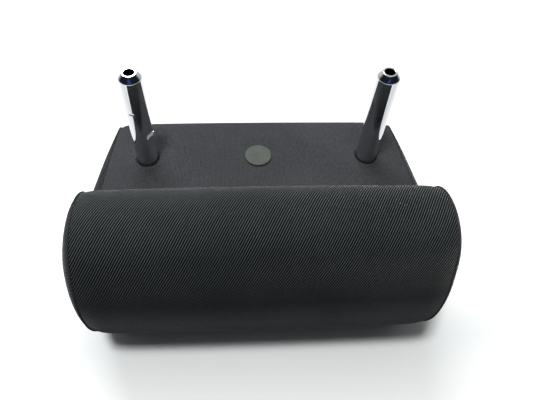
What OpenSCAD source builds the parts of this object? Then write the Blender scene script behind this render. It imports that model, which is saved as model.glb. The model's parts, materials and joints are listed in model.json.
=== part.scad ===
// Padded head restraint on two round posts, standing upside down on its crown.
// +Z runs along the posts towards their free ends, -Y is the side the head rests on.
// The origin is the middle of the base of the bounding box, on the surface it stands on.

/* [Cushion] */
// Height of the flat underside panel above the crown
underside_z = 76; // [74:0.5:77]
// Half the cover's width between its end seams
seam_half_w = 97.5; // [95:0.5:110]
// How much each side draws in per millimetre behind the front roll
side_taper = 0.1; // [0:0.01:0.12]
// Front to rear depth of the cushion
depth = 138; // [136:1:146]
// How far the padded end panels stand out
end_bulge = 12; // [4:1:13]

/* [Front roll] */
// Radius of the lip
lip_r = 28.5; // [26:0.5:30]
// Radius of the broad front face
front_r = 69; // [67:0.5:70]
// Height of the centre of the front face's arc
front_cz = 60.5; // [59.5:0.5:64]
// Angle above the horizontal where the front face meets the lip
lip_angle = 35.5; // [34:0.5:41]
// Angle below the horizontal where the front face meets the lower arc
lower_angle = 33; // [28:1:38]

/* [Base] */
// Radius from the crown to the rear wall
rear_r = 34; // [20:1:38]
// Radius of the underside panel's rear edge
edge_r = 8; // [5:1:10]
// Radius of the valley between the underside and the lip
valley_r = 6; // [3:1:7]
// Thickness of the laminated cover
cover_t = 2; // [1.5:0.1:2.5]

/* [Posts] */
// Distance between the post centres
post_spacing = 140; // [130:1:142]
// Diameter of a post
post_d = 13; // [12:0.5:14]
// Length of post that shows above the underside
post_exposed = 68; // [60:1:120]
// Wall thickness of the post tube
post_wall = 1.5; // [1.2:0.1:2]
// Diameter of the hole in a post's nose
nose_hole_d = 6; // [4:0.5:7]
// Height of a post's bevelled nose
nose_h = 3; // [2.5:0.5:5]
// Height of the left post's detent notch above the underside
notch_z = 22; // [12:1:26]
// Height of the notch along the post
notch_h = 3.5; // [2:0.5:5]
// Depth of the notch
notch_depth = 1.4; // [0.8:0.1:1.5]
// Angle from the inner side towards the front at which the notch faces
notch_turn = 20; // [0:5:90]
// Height of the left post's shallow groove above the underside
groove_z = 42; // [32:1:50]

/* [Pour port] */
// Diameter of the plug's flange
plug_d = 17; // [16:0.5:20]
// Height of the plug's flange
plug_t = 1.4; // [1:0.1:2]
// Diameter of the plug's shank
shank_d = 11.8; // [10:0.1:12]
// Length of the plug's shank
shank_l = 10; // [6:0.5:11]

/* [Hidden] */

LEFT = -1;
RIGHT = 1;
eps = 0.01;

// Cushion section in the YZ plane
front_y = -depth / 2;
rear_y = depth / 2;
front_c = [front_y + front_r, front_cz];
lip_c = front_c + (front_r - lip_r) * [-cos(lip_angle), sin(lip_angle)];
lower_r = (front_cz - front_r * sin(lower_angle)) / (1 - sin(lower_angle));
lower_c = front_c - (front_r - lower_r) * [cos(lower_angle), sin(lower_angle)];
rear_c = [rear_y - rear_r, rear_r];
edge_c = [rear_y - edge_r, underside_z - edge_r];
valley_c = [lip_c[0] + lip_r + valley_r, underside_z + valley_r];
valley_seam_z = valley_c[1];
rear_seam_z = underside_z - 2 * edge_r;

// Posts and what they pass through
post_y = 35;
post_x = post_spacing / 2;
post_r = post_d / 2;
post_tip_z = underside_z + post_exposed;
foot_z = 24;
foot_r = post_r - 0.2;
fit_gap = 0.1;
eyelet_r = post_r + 0.9;
eyelet_t = 0.5;
eyelet_neck_r = post_r + 0.6;
foot_top_z = underside_z + eyelet_t + 0.3;
nose_lip_w = 1.05;
groove_turn = 250;
groove_depth = 0.5;
groove_h = 2;
seal_r = 11;
seal_h = 4;

// Armature and carrier
sheet_t = 2;
channel_z0 = 24;
channel_h = 30;
channel_half_w = 83;
channel_flange = 9;
web_y = post_y + foot_r;
carrier_half_w = 87;
carrier_y0 = 20;
carrier_y1 = 56;
carrier_z0 = 16;
carrier_z1 = 60;
carrier_wall = 2.5;
screw_x = 32;
screw_zs = [31, 47];
screw_r = 2;
boss_r = 4.5;
boss_gap = 0.6;
screw_l = 32;
screw_head_r = 4;
screw_head_h = 2.4;
head_room = 0.2;

// Rod loop that holds the front roll up
loop_d = 6;
loop_half_w = 45;
loop_bend_r = 12;
loop_y = web_y - loop_d / 2;
loop_foot_z = 27;
loop_run_z = 43;
loop_tip_y = lip_c[0] - 2;
loop_top_z = lip_c[1] + 4;

// Pour port
collar_r = 8;
collar_flange_r = 13;
collar_flange_t = 1.5;
collar_bore_r = shank_d / 2 + 0.4;
collar_z0 = carrier_z1 + 1;
plug_rib_r = shank_d / 2 + 0.1;

// Welts and closure strips
welt_w = 2;
strip_len = 150;
strip_t = 1.5;
strip_y = valley_c[0] + 4;
strip_z = underside_z - cover_t - 16;

function arc(c, r, a0, a1, n) =
    [for (i = [1:n]) let (a = a0 + (a1 - a0) * i / n) c + r * [cos(a), sin(a)]];
function reversed(list) = [for (i = [len(list) - 1:-1:0]) list[i]];

// The twill's path, d inside the outer face: lip, front, crown, rear wall
function wrap_path(d) = concat(
    [[lip_c[0] + lip_r - d, valley_seam_z]],
    arc(lip_c, lip_r - d, -1, 180 - lip_angle, 20),
    arc(front_c, front_r - d, 180 - lip_angle, 180 + lower_angle, 20),
    arc(lower_c, lower_r - d, 180 + lower_angle, 270, 12),
    [[valley_c[0], d], [rear_c[0], d]],
    arc(rear_c, rear_r - d, 270, 360, 12),
    [[rear_y - d, rear_seam_z]]);

// The underside panel's path, d inside: rear edge, flat panel, valley
function underside_path(d) = concat(
    [[rear_y - d, rear_seam_z], [rear_y - d, edge_c[1]]],
    arc(edge_c, edge_r - d, 0, 90, 6),
    [[valley_c[0], underside_z - d]],
    arc(valley_c, valley_r + d, 270, 180, 6));

function outline(d) = concat(wrap_path(d), [for (i = [1:len(underside_path(d)) - 2]) underside_path(d)[i]]);
function half_width(y) = seam_half_w - side_taper * max(y - valley_c[0], 0);

// A YZ polygon drawn out along X
module along_x(points, length) {
    rotate([90, 0, 90]) linear_extrude(height = length, center = true) polygon(points);
}

// Everything within the tapering sides, moved out by grow
module between_sides(grow) {
    y0 = front_y - 10;
    y1 = rear_y + 10;
    translate([0, 0, -10]) linear_extrude(height = underside_z + 80) polygon([
        [-half_width(y0) - grow, y0], [half_width(y0) + grow, y0],
        [half_width(y0) + grow, valley_c[0]], [half_width(y1) + grow, y1],
        [-half_width(y1) - grow, y1], [-half_width(y0) - grow, valley_c[0]]]);
}

module at_post(side) {
    translate([side * post_x, post_y, 0]) children();
}

module ring(r_out, r_in, h) {
    difference() {
        cylinder(r = r_out, h = h, $fn = 64);
        translate([0, 0, -1]) cylinder(r = r_in, h = h + 2, $fn = 64);
    }
}

// Tube with a bevelled nose; its foot, inside the cushion, is drawn down a little
module post(side) {
    nose_z = post_tip_z - nose_h;
    hole_r = nose_hole_d / 2;
    bore_r = post_r - post_wall;
    color("gainsboro") at_post(side) rotate_extrude($fn = 96) polygon([
        [bore_r, foot_z], [foot_r, foot_z], [foot_r, foot_top_z], [post_r, foot_top_z],
        [post_r, nose_z - 0.6], [post_r - 0.3, nose_z], [hole_r + nose_lip_w + 0.2, post_tip_z - 0.4],
        [hole_r + nose_lip_w - 0.2, post_tip_z], [hole_r, post_tip_z],
        [hole_r, post_tip_z - 2], [bore_r, nose_z - 1]]);
}

// Flat-bottomed cut across the left post's wall, facing turn degrees anticlockwise from +X
module cut_across(turn, z, deep, h) {
    at_post(LEFT) rotate(turn) translate([post_r - deep, -post_r, z]) cube([post_d, post_d, h]);
}

module left_post() {
    color("gainsboro") difference() {
        post(LEFT);
        cut_across(-notch_turn, underside_z + notch_z, notch_depth, notch_h);
        cut_across(groove_turn, underside_z + groove_z, groove_depth, groove_h);
    }
}

module right_post() { post(RIGHT); }

module eyelet(side) {
    color("black") at_post(side) {
        translate([0, 0, underside_z]) ring(eyelet_r, post_r + fit_gap, eyelet_t);
        translate([0, 0, underside_z - cover_t]) ring(eyelet_neck_r, post_r + fit_gap, cover_t + eps);
    }
}

module left_eyelet() { eyelet(LEFT); }
module right_eyelet() { eyelet(RIGHT); }

module post_seal(side) {
    color("dimgray") at_post(side) translate([0, 0, carrier_z1]) ring(seal_r, post_r + fit_gap, seal_h);
}

module left_post_seal() { post_seal(LEFT); }
module right_post_seal() { post_seal(RIGHT); }

// Pressed channel: a web behind the posts with a flange along its top and bottom
module cross_channel() {
    color("darkgray") difference() {
        translate([-channel_half_w, web_y, channel_z0])
            cube([2 * channel_half_w, sheet_t + channel_flange, channel_h]);
        translate([-channel_half_w - 1, web_y + sheet_t, channel_z0 + sheet_t])
            cube([2 * channel_half_w + 2, channel_flange + 1, channel_h - 2 * sheet_t]);
        for (s = [LEFT, RIGHT], z = screw_zs) translate([s * screw_x, web_y - 1, z])
            rotate([-90, 0, 0]) cylinder(r = boss_r + boss_gap, h = sheet_t + 2, $fn = 48);
    }
}

// Strap over the front of a post's foot, with a flange on the web at each side
module saddle(side) {
    strap_r = foot_r + sheet_t;
    flange_w = 4;
    strap_z = channel_z0 + 6;
    strap_h = 16;
    color("darkgray") at_post(side) translate([0, 0, strap_z]) difference() {
        union() {
            cylinder(r = strap_r, h = strap_h, $fn = 64);
            translate([-strap_r, 0, 0]) cube([2 * strap_r, foot_r, strap_h]);
            translate([-strap_r - flange_w, foot_r - sheet_t, 0])
                cube([2 * (strap_r + flange_w), sheet_t, strap_h]);
        }
        translate([0, 0, -1]) cylinder(r = foot_r + fit_gap, h = strap_h + 2, $fn = 64);
        translate([-foot_r - fit_gap, 0, -1]) cube([2 * (foot_r + fit_gap), post_d, strap_h + 2]);
        translate([-strap_r - 1, foot_r, -1]) cube([2 * strap_r + 2, strap_r, strap_h + 2]);
    }
}

module left_saddle() { saddle(LEFT); }
module right_saddle() { saddle(RIGHT); }

module rod(from, to, r) {
    v = to - from;
    l = norm(v);
    translate(from) rotate([0, acos(v[2] / l), atan2(v[1], v[0])]) cylinder(r = r, h = l, $fn = 32);
}

module bend(centre, turn, r) {
    translate(centre) rotate(turn) rotate_extrude(angle = 90, $fn = 64)
        translate([loop_bend_r, 0]) circle(r = r, $fn = 32);
}

// One leg of the loop: up the web, forward, up into the lip, then in to the cross bar
module loop_leg(side, r) {
    x = side * loop_half_w;
    b = loop_bend_r;
    bar_x = x - side * b;
    rod([x, loop_y, loop_foot_z], [x, loop_y, loop_run_z - b + eps], r);
    bend([x, loop_y - b, loop_run_z - b], [90, 0, 90], r);
    rod([x, loop_y - b, loop_run_z], [x, loop_tip_y + b, loop_run_z], r);
    bend([x, loop_tip_y + b, loop_run_z + b], [-90, 0, -90], r);
    rod([x, loop_tip_y, loop_run_z + b], [x, loop_tip_y, loop_top_z - b], r);
    bend([bar_x, loop_tip_y, loop_top_z - b], side == RIGHT ? [90, 0, 0] : [90, 0, 180], r);
    rod([bar_x, loop_tip_y, loop_top_z], [0, loop_tip_y, loop_top_z], r);
}

module loop_shape(r) {
    loop_leg(LEFT, r);
    loop_leg(RIGHT, r);
}

module bolster_loop() {
    color("darkgray") loop_shape(loop_d / 2);
}

module carrier_box(y0, y1, inset) {
    translate([-carrier_half_w + inset, y0, carrier_z0 + inset])
        cube([2 * (carrier_half_w - inset), y1 - y0, carrier_z1 - carrier_z0 - 2 * inset]);
}

module carrier_post_holes() {
    for (s = [LEFT, RIGHT]) at_post(s) translate([0, 0, carrier_z0 + carrier_wall + 1])
        cylinder(r = post_r + fit_gap, h = carrier_z1, $fn = 64);
}

module at_screws() {
    for (s = [LEFT, RIGHT], z = screw_zs) translate([s * screw_x, 0, z]) rotate([-90, 0, 0]) children();
}

// Front half of the carrier, with the four bosses that take the screws
module carrier_front_shell() {
    boss_y = web_y - 4;
    color("darkslategray") difference() {
        union() {
            difference() {
                carrier_box(carrier_y0, post_y, 0);
                carrier_box(carrier_y0 + carrier_wall, post_y + 1, carrier_wall);
            }
            at_screws() translate([0, 0, carrier_y0 + 1])
                cylinder(r = boss_r, h = boss_y - carrier_y0 - 1, $fn = 48);
        }
        carrier_post_holes();
        at_screws() translate([0, 0, carrier_y0 + 4]) cylinder(r = screw_r, h = boss_y, $fn = 32);
        for (s = [LEFT, RIGHT]) translate([s * loop_half_w, carrier_y0 - 1, loop_run_z]) rotate([-90, 0, 0])
            cylinder(r = loop_d / 2 + fit_gap, h = carrier_wall + 2, $fn = 48);
    }
}

// Rear half of the carrier, with the screw towers that reach through the channel's web
module carrier_rear_shell() {
    tower_y = web_y - 4;
    color("darkslategray") difference() {
        union() {
            difference() {
                carrier_box(post_y, carrier_y1, 0);
                carrier_box(post_y - 1, carrier_y1 - carrier_wall, carrier_wall);
            }
            at_screws() translate([0, 0, tower_y])
                cylinder(r = boss_r, h = carrier_y1 - tower_y - 1, $fn = 48);
        }
        carrier_post_holes();
        at_screws() translate([0, 0, tower_y - 1]) cylinder(r = screw_r + 0.3, h = carrier_y1, $fn = 32);
    }
}

module carrier_screws() {
    color("silver") at_screws() {
        translate([0, 0, carrier_y1 - screw_l]) cylinder(r = screw_r, h = screw_l + eps, $fn = 32);
        translate([0, 0, carrier_y1]) cylinder(r = screw_head_r, h = screw_head_h, $fn = 32);
    }
}

// Socket under the cover that the plug pushes into
module pour_port_collar() {
    flange_z = underside_z - cover_t - collar_flange_t;
    color("darkslategray") translate([0, post_y, 0]) {
        translate([0, 0, flange_z]) ring(collar_flange_r, collar_bore_r, collar_flange_t);
        translate([0, 0, collar_z0]) ring(collar_r, collar_bore_r, flange_z - collar_z0 + eps);
    }
}

// Push-in plug: a low domed flange on a ribbed shank
module pour_port_plug() {
    shank_r = shank_d / 2;
    z0 = underside_z - shank_l;
    color("darkslategray") translate([0, post_y, 0]) rotate_extrude($fn = 96) polygon([
        [0, z0], [shank_r - 1, z0], [plug_rib_r, z0 + 2], [shank_r - 0.6, z0 + 2.2],
        [shank_r - 0.6, z0 + 3.4], [plug_rib_r, z0 + 5.4], [shank_r - 0.6, z0 + 5.6],
        [shank_r - 0.6, underside_z], [plug_d / 2, underside_z], [plug_d / 2, underside_z + plug_t - 0.5],
        [plug_d / 2 - 0.6, underside_z + plug_t], [0, underside_z + plug_t]]);
}

// Two J-shaped strips hooked into each other, as YZ profiles
hook_profile = [[-3 * strip_t, 0], [strip_t, 0], [strip_t, 12], [0, 12], [0, strip_t],
    [-2 * strip_t, strip_t], [-2 * strip_t, 5], [-3 * strip_t, 5]];
catch_profile = [[-4.2 * strip_t, -4], [-3.2 * strip_t, -4], [-3.2 * strip_t, 6.5], [-1.5 * strip_t, 6.5],
    [-1.5 * strip_t, 1.8], [-0.5 * strip_t, 1.8], [-0.5 * strip_t, 8], [-4.2 * strip_t, 8]];

closure_pocket = [[-4.7 * strip_t, -5], [1.3 * strip_t, -5], [1.3 * strip_t, 13], [-4.7 * strip_t, 13]];

module at_closure() {
    translate([0, strip_y, strip_z]) children();
}

module closure_hook_strip() { color("black") at_closure() along_x(hook_profile, strip_len); }
module closure_catch_strip() { color("black") at_closure() along_x(catch_profile, strip_len); }

module foam_block() {
    color("khaki") difference() {
        intersection() {
            along_x(outline(cover_t), 3 * seam_half_w);
            between_sides(welt_w / 2);
        }
        carrier_box(carrier_y0, carrier_y1, 0);
        at_screws() translate([0, 0, carrier_y1 - 1])
            cylinder(r = screw_head_r + head_room, h = screw_head_h + head_room + 1, $fn = 32);
        loop_shape(loop_d / 2 + eps);
        for (s = [LEFT, RIGHT]) at_post(s) {
            translate([0, 0, carrier_z1 - 1]) cylinder(r = seal_r, h = seal_h + 1, $fn = 64);
            translate([0, 0, carrier_z1]) cylinder(r = post_r + fit_gap, h = underside_z, $fn = 64);
        }
        translate([0, post_y, collar_z0 - 1]) cylinder(r = collar_r + eps, h = underside_z, $fn = 64);
        translate([0, post_y, underside_z - cover_t - collar_flange_t])
            cylinder(r = collar_flange_r + eps, h = underside_z, $fn = 64);
        at_closure() along_x(closure_pocket, strip_len + 2);
    }
}

// Twill cover from the valley over the lip, front and crown to the rear seam
module cover_wrap() {
    color([0.10, 0.10, 0.11]) intersection() {
        along_x(concat(wrap_path(0), reversed(wrap_path(cover_t))), 3 * seam_half_w);
        between_sides(-welt_w / 2);
    }
}

// Plain-knit panel with the holes for the posts and the plug
module cover_underside() {
    color([0.14, 0.14, 0.15]) difference() {
        intersection() {
            along_x(concat(underside_path(0), reversed(underside_path(cover_t))), 3 * seam_half_w);
            between_sides(-welt_w / 2);
        }
        for (s = [LEFT, RIGHT]) at_post(s) translate([0, 0, underside_z - 10])
            cylinder(r = eyelet_neck_r, h = 20, $fn = 64);
        translate([0, post_y, underside_z - 10]) cylinder(r = collar_bore_r, h = 20, $fn = 64);
    }
}

// Padded end panel: rings of the outline shrink towards a centre while they rise
module end_panel(side) {
    centre = [-12, 46];
    rim = outline(0);
    rises = [0, 0.07, 0.15, 0.25, 0.36, 0.5];
    n = len(rim);
    function rise(u) = end_bulge * (1 - pow(1 - u / 0.5, 2));
    function place(q, h) = [side * (half_width(q[0]) + welt_w / 2 + h), q[0], q[1]];
    points = concat([for (u = rises, p = rim) place(centre + (1 - u) * (p - centre), rise(u))],
        [place(centre, end_bulge)]);
    last = n * (len(rises) - 1);
    walls = [for (k = [0:len(rises) - 2], i = [0:n - 1]) let (j = (i + 1) % n, a = k * n, b = a + n)
        each [[a + i, a + j, b + j], [a + i, b + j, b + i]]];
    cap = [for (i = [0:n - 1]) [last + i, last + (i + 1) % n, n * len(rises)]];
    // The base is two flats that meet where the sides start to draw in
    front_base = [for (i = [n - 1:-1:0]) if (rim[i][0] < valley_c[0] + eps) i];
    rear_base = [for (i = [n - 1:-1:0]) if (rim[i][0] > valley_c[0] - eps) i];
    faces = concat(walls, cap, [front_base, rear_base]);
    color([0.10, 0.10, 0.11])
        polyhedron(points, side == RIGHT ? [for (f = faces) reversed(f)] : faces);
}

module cover_left_end() { end_panel(LEFT); }
module cover_right_end() { end_panel(RIGHT); }

// Flat welt sewn between the wrap and an end panel
module welt(side) {
    color("black") intersection() {
        difference() {
            along_x(outline(0), 3 * seam_half_w);
            along_x(outline(cover_t), 3 * seam_half_w + 2);
            between_sides(-welt_w / 2);
        }
        between_sides(welt_w / 2);
        translate([side * 100, 0, 100]) cube(200, center = true);
    }
}

module left_welt() { welt(LEFT); }
module right_welt() { welt(RIGHT); }

left_post();
right_post();
left_eyelet();
right_eyelet();
left_post_seal();
right_post_seal();
cross_channel();
left_saddle();
right_saddle();
bolster_loop();
carrier_front_shell();
carrier_rear_shell();
carrier_screws();
pour_port_collar();
pour_port_plug();
foam_block();
cover_wrap();
cover_underside();
cover_left_end();
cover_right_end();
left_welt();
right_welt();
closure_hook_strip();
closure_catch_strip();
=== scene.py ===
"""Looks of a padded head restraint that stands upside down on its crown, posts up.

Every length is in metres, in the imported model's own frame.
The cushion's section lies in the YZ plane and runs along X, and its arcs are the CAD section's arcs.
"""

import json
import math

import bmesh
import bpy
import numpy as np
from mathutils import Matrix, Vector

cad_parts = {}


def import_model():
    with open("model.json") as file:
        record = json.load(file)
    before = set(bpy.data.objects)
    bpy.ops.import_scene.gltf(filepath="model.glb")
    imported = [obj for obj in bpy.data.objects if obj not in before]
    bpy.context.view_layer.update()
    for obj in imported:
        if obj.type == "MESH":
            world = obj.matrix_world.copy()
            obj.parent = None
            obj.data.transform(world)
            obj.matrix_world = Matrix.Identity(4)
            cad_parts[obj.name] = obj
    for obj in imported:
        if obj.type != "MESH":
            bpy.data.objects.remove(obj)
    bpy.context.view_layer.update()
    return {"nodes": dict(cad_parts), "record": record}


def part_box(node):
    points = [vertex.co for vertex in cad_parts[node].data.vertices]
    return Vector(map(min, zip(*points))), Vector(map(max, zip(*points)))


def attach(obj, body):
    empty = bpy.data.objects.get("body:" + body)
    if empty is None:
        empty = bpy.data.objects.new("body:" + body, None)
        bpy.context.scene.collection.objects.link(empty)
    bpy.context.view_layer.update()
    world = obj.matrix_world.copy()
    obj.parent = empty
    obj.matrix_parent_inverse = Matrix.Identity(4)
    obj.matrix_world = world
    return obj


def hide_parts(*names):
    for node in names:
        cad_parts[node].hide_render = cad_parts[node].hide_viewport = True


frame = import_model()

MM = 0.001
BODY = "restraint"
PLUG_BODY = "plug"
SIDES = {"left": -1, "right": 1}

# ---------------------------------------------------------------- places, from the frame

wrap_low, wrap_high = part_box("cover_wrap")
mounts = {m["name"]: m for m in frame["record"]["mounts"]}
UNDERSIDE_Z = 76 * MM
FRONT_Y, REAR_Y = wrap_low.y, wrap_high.y
SEAM_X = wrap_high.x + 1 * MM
POST_X, POST_Y = mounts["right_post"]["pos_m"][:2]
POST_R = mounts["right_post"]["dims"]["r_mm"] * MM

# ---------------------------------------------------------------- the cushion's section

SIDE_TAPER = 0.1
FRONT_R, FRONT_CZ = 69 * MM, 60.5 * MM
LIP_R, LIP_ANGLE = 28.5 * MM, 35.5
LOWER_ANGLE = 33
REAR_R, EDGE_R, VALLEY_R = 34 * MM, 8 * MM, 6 * MM
SAMPLE = 0.25 * MM


def polar(degrees):
    return np.array([math.cos(math.radians(degrees)), math.sin(math.radians(degrees))])


front_c = np.array([FRONT_Y + FRONT_R, FRONT_CZ])
lip_c = front_c + (FRONT_R - LIP_R) * polar(180 - LIP_ANGLE)
lower_sin = math.sin(math.radians(LOWER_ANGLE))
lower_r = (FRONT_CZ - FRONT_R * lower_sin) / (1 - lower_sin)
lower_c = front_c + (FRONT_R - lower_r) * polar(180 + LOWER_ANGLE)
rear_c = np.array([REAR_Y - REAR_R, REAR_R])
edge_c = np.array([REAR_Y - EDGE_R, UNDERSIDE_Z - EDGE_R])
valley_c = np.array([lip_c[0] + LIP_R + VALLEY_R, UNDERSIDE_Z + VALLEY_R])
REAR_SEAM_Z = UNDERSIDE_Z - 2 * EDGE_R


def arc(centre, radius, start, end, outward=1):
    """Points and outward normals along an arc, angles in degrees."""
    count = max(2, int(abs(math.radians(end - start)) * radius / SAMPLE))
    rays = np.array([polar(a) for a in np.linspace(start, end, count + 1)])
    return centre + radius * rays, outward * rays


def line(start, end):
    """Points and outward normals along a straight stretch, with the outside on its right."""
    start, end = np.array(start), np.array(end)
    count = max(2, int(np.linalg.norm(end - start) / SAMPLE))
    along = (end - start) / np.linalg.norm(end - start)
    points = start + np.linspace(0, 1, count + 1)[:, None] * (end - start)
    return points, np.tile([along[1], -along[0]], (count + 1, 1))


def chain(stretches):
    """One path out of several stretches: points, normals and length so far."""
    points = np.concatenate([s[0] for s in stretches])
    normals = np.concatenate([s[1] for s in stretches])
    steps = np.linalg.norm(np.diff(points, axis=0), axis=1)
    keep = np.concatenate([[True], steps > 1e-7])
    points, normals = points[keep], normals[keep]
    run = np.concatenate([[0], np.cumsum(np.linalg.norm(np.diff(points, axis=0), axis=1))])
    return points, normals, run


def resample(path, count):
    """The path at count evenly spaced places."""
    points, normals, run = path
    at = np.linspace(0, run[-1], count)
    p = np.stack([np.interp(at, run, points[:, i]) for i in (0, 1)], 1)
    n = np.stack([np.interp(at, run, normals[:, i]) for i in (0, 1)], 1)
    return p, n / np.linalg.norm(n, axis=1)[:, None], at


lip_back = lip_c[0] + LIP_R
wrap_path = chain([
    line((lip_back, valley_c[1]), (lip_back, lip_c[1])),
    arc(lip_c, LIP_R, 0, 180 - LIP_ANGLE),
    arc(front_c, FRONT_R, 180 - LIP_ANGLE, 180 + LOWER_ANGLE),
    arc(lower_c, lower_r, 180 + LOWER_ANGLE, 270),
    line((lower_c[0], 0), (rear_c[0], 0)),
    arc(rear_c, REAR_R, 270, 360),
    line((REAR_Y, rear_c[1]), (REAR_Y, REAR_SEAM_Z)),
])
underside_path = chain([
    line((REAR_Y, REAR_SEAM_Z), (REAR_Y, edge_c[1])),
    arc(edge_c, EDGE_R, 0, 90),
    line((edge_c[0], UNDERSIDE_Z), (valley_c[0], UNDERSIDE_Z)),
    arc(valley_c, VALLEY_R, 270, 180, outward=-1),
])
rim_path = chain([wrap_path[:2], underside_path[:2]])

# ---------------------------------------------------------------- cover shape

SEAM_INSET = 1.9 * MM
SEAM_REACH = 11 * MM
CROWN = 0.95 * MM
END_BULGE = 13.6 * MM
CLOTH_T = 1.4 * MM


def smooth_step(t):
    t = np.clip(t, 0, 1)
    return t * t * (3 - 2 * t)


def half_width(y):
    """Distance from the middle to the end seam."""
    return SEAM_X - SIDE_TAPER * np.maximum(y - valley_c[0], 0)


def seam_inset(y, z):
    """How deep the end seams lie: less on the underside and the lip, more at the rear corners."""
    inset = 1 - 0.5 * smooth_step(y / (30 * MM)) + 0.8 * smooth_step((y - 50 * MM) / (15 * MM))
    return SEAM_INSET * inset * (1 - 0.45 * smooth_step((z - 88 * MM) / (14 * MM)))


def seam_dip(distance, y, z):
    """How far the cloth is drawn in at a distance from the end seam."""
    return seam_inset(y, z) * np.clip(1 - distance / SEAM_REACH, 0, 1) ** 2.1


def lean(verts):
    """The stuffing of the lip sits slightly to the right."""
    verts = np.array(verts)
    verts[:, 0] += 0.7 * MM * smooth_step((verts[:, 2] - 78 * MM) / (30 * MM))
    return verts


# ---------------------------------------------------------------- mesh helpers

def new_object(name, verts, faces, smooth=True):
    mesh = bpy.data.meshes.new(name)
    mesh.from_pydata([tuple(v) for v in verts], [], faces)
    mesh.validate()
    mesh.update()
    obj = bpy.data.objects.new(name, mesh)
    bpy.context.scene.collection.objects.link(obj)
    if smooth:
        mesh.polygons.foreach_set("use_smooth", [True] * len(mesh.polygons))
    return obj


def add_uv(obj, coords):
    """The cloth map: for each vertex its place on the flat cloth, in metres."""
    layer = obj.data.uv_layers.new(name="cloth")
    index = np.empty(len(obj.data.loops), int)
    obj.data.loops.foreach_get("vertex_index", index)
    layer.data.foreach_set("uv", np.asarray(coords)[index].astype(np.float32).ravel())


def grid_faces(rows, cols, closed=False):
    """Faces of a grid of rows x cols vertices, its columns closed into a ring if asked."""
    wrap = cols if closed else cols - 1
    return [(r * cols + c, r * cols + (c + 1) % cols, (r + 1) * cols + (c + 1) % cols, (r + 1) * cols + c)
            for r in range(rows - 1) for c in range(wrap)]


def modifier(obj, kind, **values):
    m = obj.modifiers.new(kind.lower(), kind)
    for key, value in values.items():
        setattr(m, key, value)
    return m


def apply_modifiers(obj):
    """Bakes the modifiers into the mesh."""
    graph = bpy.context.evaluated_depsgraph_get()
    graph.update()
    final = obj.evaluated_get(graph)
    mesh = bpy.data.meshes.new_from_object(final, preserve_all_data_layers=True, depsgraph=graph)
    obj.modifiers.clear()
    obj.data = mesh


def cut(obj, operation, *tools):
    """Applies a boolean with each tool in turn and removes the tools."""
    for tool in tools:
        modifier(obj, "BOOLEAN", operation=operation, object=tool, solver="EXACT")
        apply_modifiers(obj)
        bpy.data.objects.remove(tool)


def lathe(name, profile, x, y, segments=128):
    """A turned piece: (radius, height) pairs, turned about the upright through x, y."""
    turn = np.linspace(0, 2 * math.pi, segments, endpoint=False)
    verts = [(x + r * math.cos(a), y + r * math.sin(a), z) for r, z in profile for a in turn]
    faces = grid_faces(len(profile), segments, closed=True)
    return new_object(name, verts, faces)


# ---------------------------------------------------------------- materials

class Nodes:
    """A short way to write a material's node tree."""

    def __init__(self, name):
        self.material = bpy.data.materials.new(name)
        self.material.use_nodes = True
        self.tree = self.material.node_tree
        self.shader = self.tree.nodes["Principled BSDF"]

    def link(self, value, socket):
        if isinstance(value, bpy.types.NodeSocket):
            self.tree.links.new(value, socket)
        else:
            socket.default_value = value

    def math(self, operation, a, b=0.0, c=0.0):
        node = self.tree.nodes.new("ShaderNodeMath")
        node.operation = operation
        for value, socket in zip((a, b, c), node.inputs):
            self.link(value, socket)
        return node.outputs[0]

    def cloth_uv(self):
        """The two flat-cloth coordinates, in millimetres."""
        uv = self.tree.nodes.new("ShaderNodeUVMap")
        uv.uv_map = "cloth"
        parts = self.tree.nodes.new("ShaderNodeSeparateXYZ")
        self.tree.links.new(uv.outputs[0], parts.inputs[0])
        return tuple(self.math("MULTIPLY", parts.outputs[i], 1000) for i in (0, 1))

    def object_point(self):
        return self.tree.nodes.new("ShaderNodeTexCoord").outputs["Object"]

    def noise(self, vector, scale, detail=2.0, roughness=0.5):
        node = self.tree.nodes.new("ShaderNodeTexNoise")
        self.link(vector, node.inputs["Vector"])
        node.inputs["Scale"].default_value = scale
        node.inputs["Detail"].default_value = detail
        node.inputs["Roughness"].default_value = roughness
        return node.outputs["Fac"]

    def stretch(self, value, low, high, to_low=0.0, to_high=1.0):
        node = self.tree.nodes.new("ShaderNodeMapRange")
        self.link(value, node.inputs["Value"])
        for key, number in (("From Min", low), ("From Max", high), ("To Min", to_low), ("To Max", to_high)):
            node.inputs[key].default_value = number
        return node.outputs[0]

    def blend(self, factor, a, b):
        node = self.tree.nodes.new("ShaderNodeMix")
        node.data_type = "RGBA"
        self.link(factor, node.inputs["Factor"])
        self.link(a, node.inputs["A"])
        self.link(b, node.inputs["B"])
        return node.outputs["Result"]

    def bump(self, height, distance):
        node = self.tree.nodes.new("ShaderNodeBump")
        node.inputs["Distance"].default_value = distance
        node.inputs["Strength"].default_value = 1.0
        self.link(height, node.inputs["Height"])
        self.tree.links.new(node.outputs[0], self.shader.inputs["Normal"])

    def set(self, **values):
        for key, value in values.items():
            self.link(value, self.shader.inputs[key.replace("_", " ")])
        return self


# Cloth sizes are in millimetres.
TWILL_PITCH, YARN_PITCH, TWILL_ANGLE = 1.19, 0.62, 61
RIB_DRIFT, RIB_SHARPNESS = 0.35, 2.2
# Painted sheen on the roll's lower front: how far the ribs' contrast and relief are flattened there, how
# much painted brightening is laid over them, and over how many millimetres that brightening grows.
SHEEN_FLATTEN, SHEEN_TONE_LOW, SHEEN_TONE_HIGH, SHEEN_TONE_REACH = 0.7, 0.1, 0.42, 30
KNIT_WALE, KNIT_COURSE = 0.8, 0.6


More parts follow.
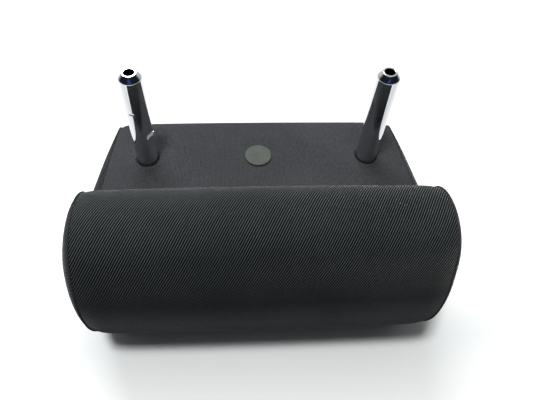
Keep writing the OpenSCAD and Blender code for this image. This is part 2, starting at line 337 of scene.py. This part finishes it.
def twill(name, dark, light, angle=TWILL_ANGLE, relief=0.4 * MM, sheen_band=None):
    """Diagonal twill: raised ribs made of short slanting floats, with dark gaps between.

    The four places of the optional band, along the cloth, say where a painted sheen starts to flatten and
    lighten the ribs, where it is fullest, where it starts to ease and where the ribs are whole again.
    """
    n = Nodes(name)
    u, v = n.cloth_uv()
    s, c = math.sin(math.radians(angle)), math.cos(math.radians(angle))
    drift = n.noise(n.object_point(), 60, 3)
    across = n.math("ADD", n.math("MULTIPLY", u, s / TWILL_PITCH), n.math("MULTIPLY", v, c / TWILL_PITCH))
    across = n.math("ADD", across, n.math("MULTIPLY", drift, RIB_DRIFT))
    along = n.math("SUBTRACT", n.math("MULTIPLY", u, c / YARN_PITCH), n.math("MULTIPLY", v, s / YARN_PITCH))
    stagger = n.math("MULTIPLY", n.math("FLOOR", across), 0.5)
    along = n.math("ADD", along, stagger)
    rib = n.math("MULTIPLY_ADD", n.math("COSINE", n.math("MULTIPLY", across, 2 * math.pi)), 0.5, 0.5)
    yarn = n.math("MULTIPLY_ADD", n.math("COSINE", n.math("MULTIPLY", along, 2 * math.pi)), 0.5, 0.5)
    height = n.math("MULTIPLY", rib, n.math("MULTIPLY_ADD", yarn, 0.3, 0.7))
    thread = n.math("POWER", height, RIB_SHARPNESS)
    # Painted sheen: over the band the ribs are flattened and a painted brightening is added, standing in
    # for the haze the roll's lower front catches at a grazing view.
    if sheen_band:
        start, full, fading, end = sheen_band
        low = n.math("MULTIPLY", n.stretch(v, start, full), n.stretch(v, fading, end, 1.0, 0.0))
        keep = n.math("MULTIPLY_ADD", low, -SHEEN_FLATTEN, 1.0)
        painted_sheen = n.stretch(v, full, full + SHEEN_TONE_REACH, SHEEN_FLATTEN * SHEEN_TONE_LOW, SHEEN_FLATTEN * SHEEN_TONE_HIGH)
        painted_sheen = n.math("MULTIPLY", low, painted_sheen)
        thread = n.math("ADD", n.math("MULTIPLY", thread, keep), painted_sheen)
        height = n.math("MULTIPLY", height, keep)
    fibre = n.noise(n.object_point(), 1400, 3, 0.7)
    wear = n.noise(n.object_point(), 25, 4, 0.6)
    tone = n.math("MULTIPLY", thread, n.stretch(fibre, 0.3, 0.7, 0.6, 1.3))
    tone = n.math("MULTIPLY", tone, n.stretch(wear, 0.3, 0.7, 0.85, 1.15))
    n.set(Base_Color=n.blend(tone, dark, light), Roughness=0.85)
    n.set(Sheen_Weight=0.1, Sheen_Roughness=0.3, Specular_IOR_Level=0.0)
    n.bump(n.math("ADD", height, n.math("MULTIPLY", fibre, 0.25)), relief)
    return n.material


def knit(name, dark, light):
    """Fine plain knit: tiny staggered loops with soft fibre noise."""
    n = Nodes(name)
    u, v = n.cloth_uv()
    column = n.math("DIVIDE", u, KNIT_WALE)
    stagger = n.math("MULTIPLY", n.math("FLOOR", column), 0.5)
    row = n.math("ADD", n.math("DIVIDE", v, KNIT_COURSE), stagger)
    loop_u = n.math("MULTIPLY_ADD", n.math("COSINE", n.math("MULTIPLY", column, 2 * math.pi)), -0.5, 0.5)
    loop_v = n.math("MULTIPLY_ADD", n.math("COSINE", n.math("MULTIPLY", row, 2 * math.pi)), 0.5, 0.5)
    height = n.math("MULTIPLY", loop_u, n.math("MULTIPLY_ADD", loop_v, 0.4, 0.6))
    fibre = n.noise(n.object_point(), 1000, 5, 0.75)
    wear = n.noise(n.object_point(), 18, 4, 0.6)
    tone = n.math("MULTIPLY_ADD", height, 0.5, 0.4)
    tone = n.math("MULTIPLY", tone, n.stretch(fibre, 0.35, 0.65, 0.55, 1.35))
    tone = n.math("MULTIPLY", tone, n.stretch(wear, 0.3, 0.7, 0.85, 1.15))
    n.set(Base_Color=n.blend(tone, dark, light), Roughness=1.0)
    n.set(Sheen_Weight=0.03, Sheen_Roughness=0.4, Specular_IOR_Level=0.0)
    n.bump(n.math("ADD", height, n.math("MULTIPLY", fibre, 0.4)), 0.12 * MM)
    return n.material


def moulded(name, colour, roughness, grain=0.06 * MM, scale=900, gloss=0.4):
    """Moulded plastic or rubber with a fine grain."""
    n = Nodes(name)
    fine = n.noise(n.object_point(), scale, 3, 0.6)
    cloudy = n.noise(n.object_point(), 90, 3, 0.6)
    pale = tuple(min(1, 1.35 * x) for x in colour[:3]) + (1,)
    n.set(Base_Color=n.blend(n.stretch(cloudy, 0.3, 0.7), colour, pale), Specular_IOR_Level=gloss)
    n.set(Roughness=n.stretch(fine, 0.3, 0.7, roughness - 0.08, roughness + 0.08))
    n.bump(fine, grain)
    return n.material


def metal(name, colour, roughness, spread, scale):
    """Plated or painted steel with faint handling marks."""
    n = Nodes(name)
    marks = n.noise(n.object_point(), scale, 4, 0.6)
    n.set(Base_Color=colour, Metallic=1.0)
    n.set(Roughness=n.stretch(marks, 0.35, 0.75, roughness, roughness + spread))
    return n.material


def foam(name):
    """Open-cell foam: a pale skin with small pits."""
    n = Nodes(name)
    cells = n.noise(n.object_point(), 700, 4, 0.6)
    pit, skin = (0.38, 0.33, 0.2, 1), (0.6, 0.55, 0.38, 1)
    n.set(Base_Color=n.blend(n.stretch(cells, 0.3, 0.7), pit, skin), Roughness=0.95)
    n.bump(cells, 0.3 * MM)
    return n.material


TWILL_DARK, TWILL_LIGHT = (0.0003, 0.00035, 0.0004, 1), (0.0445, 0.0507, 0.0523, 1)
# Painted shade: the end panels are the same cloth as the roll, given a darker rib tone to offset the light
# they catch facing sideways and up.
END_LIGHT_SHADED = (0.036, 0.041, 0.0425, 1)
# Where the painted sheen band lies along the roll's cloth, in millimetres.
SHEEN_BAND = (78, 100, 175, 210)
MATERIALS = {
    "twill": twill("twill", TWILL_DARK, TWILL_LIGHT, sheen_band=SHEEN_BAND),
    "end_twill": twill("end_twill", TWILL_DARK, END_LIGHT_SHADED, angle=75),
    "knit": knit("knit", (0.0018, 0.0019, 0.002, 1), (0.0278, 0.0296, 0.0316, 1)),
    "welt_cloth": moulded("welt_cloth", (0.012, 0.0125, 0.014, 1), 0.9, 0.1 * MM, 1300, gloss=0.0),
    "post_chrome": metal("post_chrome", (0.6, 0.61, 0.63, 1), 0.03, 0.05, 220),
    "eyelet_plastic": moulded("eyelet_plastic", (0.004, 0.004, 0.004, 1), 0.8, gloss=0.05),
    "plug_plastic": moulded("plug_plastic", (0.0175, 0.02, 0.0175, 1), 0.75, gloss=0.15),
    "seal_rubber": moulded("seal_rubber", (0.02, 0.02, 0.02, 1), 0.75),
    "carrier_plastic": moulded("carrier_plastic", (0.02, 0.02, 0.02, 1), 0.5),
    "strip_plastic": moulded("strip_plastic", (0.015, 0.015, 0.015, 1), 0.4),
    "armature_steel": moulded("armature_steel", (0.02, 0.02, 0.022, 1), 0.35),
    "zinc_steel": metal("zinc_steel", (0.6, 0.62, 0.65, 1), 0.3, 0.2, 150),
    "foam": foam("foam"),
}


def finish_piece(obj, slot_name, body, *nodes):
    """Gives a piece its material and slot, and says which body it rides on and what it stands for."""
    obj.data.materials.clear()
    obj.data.materials.append(MATERIALS[slot_name])
    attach(obj, body)
    if nodes:
        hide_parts(*nodes)
    return obj


# ---------------------------------------------------------------- cover panels

def spread(half_count, power=1.35):
    """Places from -1 to 1 that crowd towards both ends."""
    t = np.linspace(0, 1, half_count + 1)
    right = 1 - (1 - t) ** power
    return np.concatenate([-right[:0:-1], right])


def cover_grid(name, path, rows, half_cols, relief):
    """A cloth panel that follows a section path and runs from end seam to end seam."""
    points, normals, run = resample(path, rows)
    u = spread(half_cols)
    cols = len(u)
    hw = half_width(points[:, 0])[:, None]
    x = hw * u[None, :]
    dip = seam_dip(hw - np.abs(x), points[:, :1], points[:, 1:])
    lift = relief(x, points, normals, run) - dip

    def layer(depth):
        y = points[:, :1] + normals[:, :1] * (lift - depth)
        z = np.maximum(points[:, 1:] + normals[:, 1:] * (lift - depth), depth)
        return np.stack([x, y, z], 2).reshape(-1, 3)

    outer = [f[::-1] for f in grid_faces(rows, cols)]
    inner = [tuple(i + rows * cols for i in f[::-1]) for f in outer]
    rim = list(range(cols)) + [r * cols + cols - 1 for r in range(1, rows)]
    rim += [(rows - 1) * cols + c for c in range(cols - 2, -1, -1)]
    rim += [r * cols for r in range(rows - 2, 0, -1)]
    edge = [(a, b, b + rows * cols, a + rows * cols) for a, b in zip(rim, rim[1:] + rim[:1])]
    obj = new_object(name, lean(np.vstack([layer(0), layer(CLOTH_T)])), outer + inner + edge)
    flat = np.stack([x, np.repeat(run[:, None], cols, 1)], 2).reshape(-1, 2)
    add_uv(obj, np.vstack([flat, flat]))
    return obj


def wrap_relief(x, points, normals, run):
    """The roll's slight barrel shape."""
    return CROWN * (1 - (x / SEAM_X) ** 2) * np.ones((len(points), 1))


UNDERSIDE_SWELL = 0.9 * MM
PINCH_DEPTH, PINCH_START, POST_PINCH, PLUG_PINCH = 0.9 * MM, 7.5 * MM, 20 * MM, 17 * MM


def underside_relief(x, points, normals, run):
    """The flat panel swells a little and is pinched at the posts and the plug."""
    y = points[:, :1]
    flat = smooth_step(normals[:, 1:] * 2 - 1)
    swell = UNDERSIDE_SWELL * (1 - (x / SEAM_X) ** 2)
    dimple = np.zeros_like(x)
    for px, reach in ((-POST_X, POST_PINCH), (POST_X, POST_PINCH), (0, PLUG_PINCH)):
        r = np.hypot(x - px, y - POST_Y)
        fade = smooth_step((r - PINCH_START) / (reach - PINCH_START))
        dimple = np.maximum(dimple, PINCH_DEPTH * (1 - fade))
    return swell * np.ones_like(y) * (0.4 + 0.6 * flat) - flat * dimple


def punch(obj, holes):
    """Opens round holes through both layers of a panel, with a clean round wall."""
    bm = bmesh.new()
    bm.from_mesh(obj.data)
    for hx, hy, r in holes:
        centre = Vector((hx, hy))
        near = [f for f in bm.faces if (f.calc_center_median().xy - centre).length < r
                and f.calc_center_median().z > UNDERSIDE_Z - EDGE_R / 2]
        bmesh.ops.delete(bm, geom=near, context="FACES")
        rims = [e for e in bm.edges if e.is_boundary and (e.verts[0].co.xy - centre).length < 2 * r]
        for v in {v for e in rims for v in e.verts}:
            v.co.xy = centre + (v.co.xy - centre).normalized() * r
        bmesh.ops.bridge_loops(bm, edges=rims)
    bm.to_mesh(obj.data)
    bm.free()


wrap = cover_grid("wrap_cloth", wrap_path, 170, 44, wrap_relief)
finish_piece(wrap, "twill", BODY, "cover_wrap")

underside = cover_grid("underside_cloth", underside_path, 60, 60, underside_relief)
post_hole_r, plug_hole_r = POST_R + 0.6 * MM, 6.3 * MM
punch(underside, [(-POST_X, POST_Y, post_hole_r), (POST_X, POST_Y, post_hole_r), (0, POST_Y, plug_hole_r)])
finish_piece(underside, "knit", BODY, "cover_underside")

# ---------------------------------------------------------------- end panels

END_CENTRE = np.array([-12 * MM, 46 * MM])
GRID = 0.5 * MM
ROUNDS, OVER_RELAX = 600, 1.96
DOME_POWER = 0.72


def membrane():
    """Height of a stretched membrane over the end's outline on a YZ grid, 0 at the rim and 1 at its top."""
    rim = resample(rim_path, 400)[0]
    low, high = rim.min(0) - 3 * GRID, rim.max(0) + 3 * GRID
    ys, zs = np.arange(low[0], high[0], GRID), np.arange(low[1], high[1], GRID)
    gy, gz = np.meshgrid(ys, zs, indexing="ij")
    inside = np.zeros(gy.shape, bool)
    for a, b in zip(rim, np.roll(rim, -1, 0)):
        if a[1] != b[1]:
            at = a[0] + (gz - a[1]) / (b[1] - a[1]) * (b[0] - a[0])
            inside ^= ((a[1] > gz) != (b[1] > gz)) & (gy < at)
    odd = np.add.outer(np.arange(len(ys)), np.arange(len(zs))) % 2 == 1
    field = np.zeros(gy.shape)
    for _ in range(ROUNDS):
        for cells in (inside & odd, inside & ~odd):
            around = sum(np.roll(field, step, axis) for axis in (0, 1) for step in (1, -1))
            field[cells] += OVER_RELAX * ((around[cells] + 1) / 4 - field[cells])
    return low, field / field.max()


MEMBRANE_LOW, MEMBRANE = membrane()


def membrane_at(points):
    """The membrane's height at YZ points, between the grid's values."""
    at = (points - MEMBRANE_LOW) / GRID
    cell = np.floor(at).astype(int)
    (i, j), (fy, fz) = cell.T, (at - cell).T
    low = MEMBRANE[i, j] * (1 - fy) + MEMBRANE[i + 1, j] * fy
    high = MEMBRANE[i, j + 1] * (1 - fy) + MEMBRANE[i + 1, j + 1] * fy
    return low * (1 - fz) + high * fz


def end_panel(side_name):
    """A padded end: a membrane-shaped dome over a flat back, closed all round."""
    side = SIDES[side_name]
    points, normals, run = resample(rim_path, 281)
    rim = (points - normals * seam_inset(points[:, :1], points[:, 1:]))[:-1]
    rim[:, 1] = np.maximum(rim[:, 1], 0.4 * MM)
    n, steps = len(rim), 34
    at_rim = membrane_at(rim)
    verts, uvs = [], []
    for k in 1 - (np.linspace(0, 1, steps) ** 1.4) * 0.97:
        ring = END_CENTRE + k * (rim - END_CENTRE)
        rise = END_BULGE * np.clip((membrane_at(ring) - at_rim) / (1 - at_rim), 0, 1) ** DOME_POWER
        x = side * (half_width(ring[:, 0]) + 0.4 * MM + rise)
        verts.append(np.stack([x, ring[:, 0], ring[:, 1]], 1))
        uvs.append(ring * [side, -1])
    apex = verts[-1].mean(0)
    back = verts[0] - [side * 0.38 * MM, 0, 0]
    hub = np.array([side * (half_width(END_CENTRE[0]) + 0.02 * MM), *END_CENTRE])
    verts, uvs = np.vstack(verts + [apex, back, hub]), np.concatenate(uvs)
    tip, first = steps * n, steps * n + 1
    faces = grid_faces(steps, n, closed=True)
    for i in range(n):
        j = (i + 1) % n
        faces += [((steps - 1) * n + i, (steps - 1) * n + j, tip), (first + i, first + j, j, i),
                  (first + j, first + i, first + n)]
    if side > 0:
        faces = [f[::-1] for f in faces]
    obj = new_object(f"{side_name}_end_pad", lean(verts), faces)
    add_uv(obj, np.vstack([uvs, uvs[-n:].mean(0), uvs[:n], END_CENTRE * [side, -1]]))
    obj.data.set_sharp_from_angle(angle=math.radians(60))
    finish_piece(obj, "end_twill", BODY, f"cover_{side_name}_end")


for side_name in SIDES:
    end_panel(side_name)

# ---------------------------------------------------------------- foam


def foam_core():
    """The foam block, trimmed to lie just inside the cover wherever the cover is drawn in."""
    points, normals, run = resample(rim_path, 241)
    points, normals = points[:-1], normals[:-1]
    u = spread(24)
    hw = half_width(points[:, 0])[:, None]
    x = (hw - 0.05 * MM) * u[None, :]
    depth = CLOTH_T + 0.2 * MM + seam_dip(hw - np.abs(x), points[:, :1], points[:, 1:])
    depth = depth + 0.9 * MM * (points[:, 1:] > UNDERSIDE_Z - EDGE_R)
    y = points[:, :1] - normals[:, :1] * depth
    z = np.maximum(points[:, 1:] - normals[:, 1:] * depth, CLOTH_T + 0.2 * MM)
    rows, cols = x.shape
    verts = np.stack([x, y, z], 2).transpose(1, 0, 2).reshape(-1, 3)
    hubs = [(s * (half_width(END_CENTRE[0]) - 0.05 * MM), *END_CENTRE) for s in (-1, 1)]
    faces = grid_faces(cols, rows, closed=True)
    for i in range(rows):
        j = (i + 1) % rows
        faces += [(j, i, rows * cols), ((cols - 1) * rows + i, (cols - 1) * rows + j, rows * cols + 1)]
    shape = new_object("foam_limit", np.vstack([verts, hubs]), faces, smooth=False)
    core = new_object("foam_core", [], [], smooth=False)
    core.data = frame["nodes"]["foam_block"].data.copy()
    core.matrix_world = frame["nodes"]["foam_block"].matrix_world.copy()
    cut(core, "INTERSECT", shape)
    finish_piece(core, "foam", BODY, "foam_block")


foam_core()

# ---------------------------------------------------------------- welts

WELT_R = 0.55 * MM


def welt(side_name):
    """The cord in the end seam: a thin tube along the seam line."""
    side = SIDES[side_name]
    points, normals, run = resample(rim_path, 361)
    points, normals = points[:-1], normals[:-1]
    line_yz = points - normals * (seam_inset(points[:, :1], points[:, 1:]) - 0.2 * MM)
    line_yz[:, 1] = np.maximum(line_yz[:, 1], WELT_R)
    x = side * half_width(points[:, 0])
    turn = np.linspace(0, 2 * math.pi, 12, endpoint=False)
    out = np.cos(turn)[None, :, None] * normals[:, None, :] * WELT_R
    yz = line_yz[:, None, :] + out
    xs = x[:, None] + np.sin(turn)[None, :] * WELT_R
    verts = np.concatenate([xs[..., None], yz], 2).reshape(-1, 3)
    rows, cols = len(points), len(turn)
    faces = [(r * cols + c, r * cols + (c + 1) % cols, ((r + 1) % rows) * cols + (c + 1) % cols,
              ((r + 1) % rows) * cols + c) for r in range(rows) for c in range(cols)]
    obj = new_object(f"{side_name}_welt_cord", lean(verts), faces)
    finish_piece(obj, "welt_cloth", BODY, f"{side_name}_welt")


for side_name in SIDES:
    welt(side_name)

# ---------------------------------------------------------------- posts

NOSE_H = 3 * MM
NOSE_HOLE_R = 3 * MM
NOSE_LIP = 1.05 * MM
BORE_R = 5 * MM
NOTCH = {"turn": -20, "z": 22 * MM, "deep": 1.4 * MM, "height": 3.5 * MM}
GROOVE = {"turn": 250, "z": 42 * MM, "deep": 0.5 * MM, "height": 2 * MM}


def fillet(before, corner, after, radius, count=6):
    """Rounds a corner of a profile with a short arc."""
    b, c, a = (Vector(p) for p in (before, corner, after))
    to_b, to_a = (b - c).normalized(), (a - c).normalized()
    half = to_b.angle(to_a) / 2
    trim = min(radius / math.tan(half), 0.45 * (b - c).length, 0.45 * (a - c).length)
    start, end = c + to_b * trim, c + to_a * trim
    out = []
    for i in range(count + 1):
        t = i / count
        p = start.lerp(c, t).lerp(c.lerp(end, t), t)
        out.append((p.x, p.y))
    return out


def rounded(profile, radii):
    """A profile with a fillet at each inner corner that has a radius."""
    out = [profile[0]]
    for i in range(1, len(profile) - 1):
        if radii.get(i):
            out += fillet(profile[i - 1], profile[i], profile[i + 1], radii[i])
        else:
            out.append(profile[i])
    return out + [profile[-1]]


def cutter(turn, z, deep, height):
    """A block that cuts a flat across the left post, facing turn degrees from +X."""
    half, low, high = 9 * MM, UNDERSIDE_Z + z, UNDERSIDE_Z + z + height
    near, far = POST_R - deep, POST_R + 3 * MM
    spin = Matrix.Rotation(math.radians(turn), 3, "Z")
    corners = [(a, b, 0) for a, b in ((near, -half), (far, -half), (far, half), (near, half))]
    verts = [spin @ Vector(c) + Vector((-POST_X, POST_Y, h)) for h in (low, high) for c in corners]
    faces = [(3, 2, 1, 0), (4, 5, 6, 7), (0, 1, 5, 4), (1, 2, 6, 5), (2, 3, 7, 6), (3, 0, 4, 7)]
    return new_object("cutter", verts, faces, smooth=False)


def post(side_name, cuts=()):
    node = f"{side_name}_post"
    low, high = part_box(node)
    x = SIDES[side_name] * POST_X
    nose_z = high.z - NOSE_H
    lip_r = NOSE_HOLE_R + NOSE_LIP
    corners = [(BORE_R, low.z), (POST_R, low.z), (POST_R, nose_z - 0.3 * MM),
               (lip_r + 0.2 * MM, high.z - 0.4 * MM), (lip_r - 0.15 * MM, high.z),
               (NOSE_HOLE_R, high.z), (NOSE_HOLE_R, high.z - 2 * MM), (BORE_R, nose_z - 1 * MM),
               (BORE_R, low.z)]
    radii = {2: 2 * MM, 3: 0.3 * MM, 4: 0.3 * MM, 5: 0.12 * MM, 6: 0.4 * MM, 7: 1 * MM}
    profile = rounded(corners, radii)
    obj = lathe(f"{side_name}_post_tube", profile, x, POST_Y, 192)
    modifier(obj, "WELD", merge_threshold=1e-6)
    apply_modifiers(obj)
    cut(obj, "DIFFERENCE", *[cutter(**c) for c in cuts])
    obj.data.set_sharp_from_angle(angle=math.radians(35))
    finish_piece(obj, "post_chrome", BODY, node)


post("left", [NOTCH, GROOVE])
post("right")

# ---------------------------------------------------------------- eyelets and plug


def eyelet(side_name):
    node = f"{side_name}_eyelet"
    low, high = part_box(node)
    outer = (high.x - low.x) / 2 - 0.2 * MM
    inner = POST_R + 0.1 * MM
    top = high.z
    neck = POST_R + 0.5 * MM
    corners = [(inner, low.z), (neck, low.z), (neck, UNDERSIDE_Z - 0.9 * MM),
               (outer, UNDERSIDE_Z - 0.9 * MM), (outer, top - 0.1 * MM), (outer - 0.4 * MM, top),
               (inner, top), (inner, low.z)]
    profile = rounded(corners, {4: 0.3 * MM, 5: 0.3 * MM, 6: 0.2 * MM})
    obj = lathe(f"{side_name}_eyelet_ring", profile, SIDES[side_name] * POST_X, POST_Y, 96)
    modifier(obj, "WELD", merge_threshold=1e-6)
    apply_modifiers(obj)
    obj.data.set_sharp_from_angle(angle=math.radians(40))
    finish_piece(obj, "eyelet_plastic", BODY, node)


for side_name in SIDES:
    eyelet(side_name)


def plug():
    """Flat-topped flange with a rounded edge and a faint dished middle, on a ribbed shank."""
    low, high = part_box("pour_port_plug")
    outer = (high.x - low.x) / 2
    top = high.z
    shank = 5.3 * MM
    rib = 6.0 * MM
    corners = [(0.05 * MM, low.z), (4.9 * MM, low.z), (rib, low.z + 2 * MM), (shank, low.z + 2.2 * MM),
               (shank, low.z + 3.4 * MM), (rib, low.z + 5.4 * MM), (shank, low.z + 5.6 * MM),
               (shank, UNDERSIDE_Z + 0.05 * MM), (outer, UNDERSIDE_Z + 0.05 * MM), (outer, top - 0.25 * MM),
               (outer - 0.5 * MM, top), (1.5 * MM, top + 0.05 * MM), (1.1 * MM, top - 0.1 * MM),
               (0.05 * MM, top - 0.1 * MM)]
    profile = rounded(corners, {8: 0.2 * MM, 9: 0.3 * MM, 10: 0.4 * MM, 11: 0.2 * MM, 12: 0.15 * MM})
    n = 96
    obj = lathe("port_plug_cap", profile, 0, POST_Y, n)
    mesh = obj.data
    count = len(mesh.vertices)
    bm = bmesh.new()
    bm.from_mesh(mesh)
    bm.verts.ensure_lookup_table()
    bm.faces.new([bm.verts[i] for i in range(n)][::-1])
    bm.faces.new([bm.verts[count - n + i] for i in range(n)])
    bm.to_mesh(mesh)
    bm.free()
    mesh.set_sharp_from_angle(angle=math.radians(40))
    finish_piece(obj, "plug_plastic", PLUG_BODY, "pour_port_plug")


plug()

# ---------------------------------------------------------------- inner pieces, kept as the CAD made them

for entry in frame["record"]["subparts"]:
    node = frame["nodes"][entry["node"]]
    if not node.hide_render:
        node.data.materials.clear()
        node.data.materials.append(MATERIALS[entry["material_slot"]])

# ---------------------------------------------------------------- floor, light and camera


def floor():
    n = Nodes("floor_white")
    place = n.tree.nodes.new("ShaderNodeSeparateXYZ")
    n.link(n.object_point(), place.inputs[0])
    # Painted shade and light on the floor: darkest under the roll's front, about 50 to 60 mm in front of
    # the origin, and painted lighter beyond 105 mm in front, to shape the cushion's shadow; farther back
    # the floor is evenly pale.
    front, near, far = (0.355, 0.36, 0.36, 1), (0.276, 0.283, 0.283, 1), (0.34, 0.34, 0.34, 1)
    tone = n.blend(n.stretch(place.outputs[1], -0.105, -0.06), front, near)
    n.set(Base_Color=n.blend(n.stretch(place.outputs[1], -0.05, 0.0), tone, far), Roughness=0.8)
    n.set(Specular_IOR_Level=0.1)
    obj = new_object("studio_floor", [(-3, -3, 0), (3, -3, 0), (3, 3, 0), (-3, 3, 0)], [(0, 1, 2, 3)])
    obj.location.z = -0.1 * MM
    obj.data.materials.append(n.material)


def area_light(name, place, target, size, power, colour):
    data = bpy.data.lights.new(name, "AREA")
    data.shape = "RECTANGLE"
    data.size, data.size_y = size
    data.energy = power
    data.color = colour
    obj = bpy.data.objects.new(name, data)
    bpy.context.scene.collection.objects.link(obj)
    obj.location = place
    obj.rotation_euler = (Vector(target) - Vector(place)).to_track_quat("-Z", "Y").to_euler()


def world(top, horizon):
    """A pale room: bright overhead and behind, dark in front."""
    w = bpy.data.worlds.new("studio")
    bpy.context.scene.world = w
    w.use_nodes = True
    tree = w.node_tree
    back = tree.nodes["Background"]
    coord = tree.nodes.new("ShaderNodeTexCoord")
    parts = tree.nodes.new("ShaderNodeSeparateXYZ")
    ramp = tree.nodes.new("ShaderNodeValToRGB")
    tree.links.new(coord.outputs["Generated"], parts.inputs[0])
    tree.links.new(parts.outputs[2], ramp.inputs[0])
    behind = tree.nodes.new("ShaderNodeMapRange")
    behind.inputs["From Min"].default_value = 0.1
    behind.inputs["From Max"].default_value = 0.6
    tree.links.new(parts.outputs[1], behind.inputs["Value"])
    both = tree.nodes.new("ShaderNodeMix")
    both.data_type = "RGBA"
    both.inputs["B"].default_value = (0.8, 0.8, 0.8, 1)
    tree.links.new(behind.outputs[0], both.inputs["Factor"])
    tree.links.new(ramp.outputs[0], both.inputs["A"])
    tree.links.new(both.outputs["Result"], back.inputs[0])
    ramp.color_ramp.elements[0].position = 0.65
    ramp.color_ramp.elements[0].color = horizon
    ramp.color_ramp.elements[1].position = 0.9
    ramp.color_ramp.elements[1].color = top


WHITE, BLUE = (1, 1, 1), (0.1, 0.2, 1.0)
LIGHTS = [  # name, place, target, size, watts, colour
    ("overhead", (-0.2, -0.26, 1.45), (0, 0, 0), (0.2, 0.2), 44, WHITE),
    ("rear", (-0.25, 0.95, 1.2), (0, 0, 0), (1.0, 0.5), 48, WHITE),
    ("window", (-0.1, -1.9, 1.3), (0, 0, 0.1), (1.2, 0.35), 0.35, BLUE),
]
ROOM_TOP, ROOM_LOW = (1, 1, 1, 1), (0.015, 0.018, 0.025, 1)
CAMERA_AZIMUTH, CAMERA_ELEVATION, CAMERA_ROLL = -5.84, 53.63, 3.76
CAMERA_PLACE = Vector((-14.72, -179.51, 321.02)) * MM
CAMERA_LENS = 34.13


def camera():
    az, el, roll = (math.radians(a) for a in (CAMERA_AZIMUTH, CAMERA_ELEVATION, CAMERA_ROLL))
    forward = Vector((-math.sin(az) * math.cos(el), math.cos(az) * math.cos(el), -math.sin(el)))
    level = Vector((math.cos(az), math.sin(az), 0))
    upright = level.cross(forward)
    right = math.cos(roll) * level + math.sin(roll) * upright
    up = -math.sin(roll) * level + math.cos(roll) * upright
    data = bpy.data.cameras.new("camera")
    data.lens = CAMERA_LENS
    data.clip_start = 0.01
    obj = bpy.data.objects.new("camera", data)
    bpy.context.scene.collection.objects.link(obj)
    turn = Matrix((right, up, -forward)).transposed().to_4x4()
    obj.matrix_world = Matrix.Translation(CAMERA_PLACE) @ turn
    bpy.context.scene.camera = obj


floor()
world(ROOM_TOP, ROOM_LOW)
for light in LIGHTS:
    area_light(*light)
camera()
bpy.context.scene.view_settings.view_transform = "Standard"
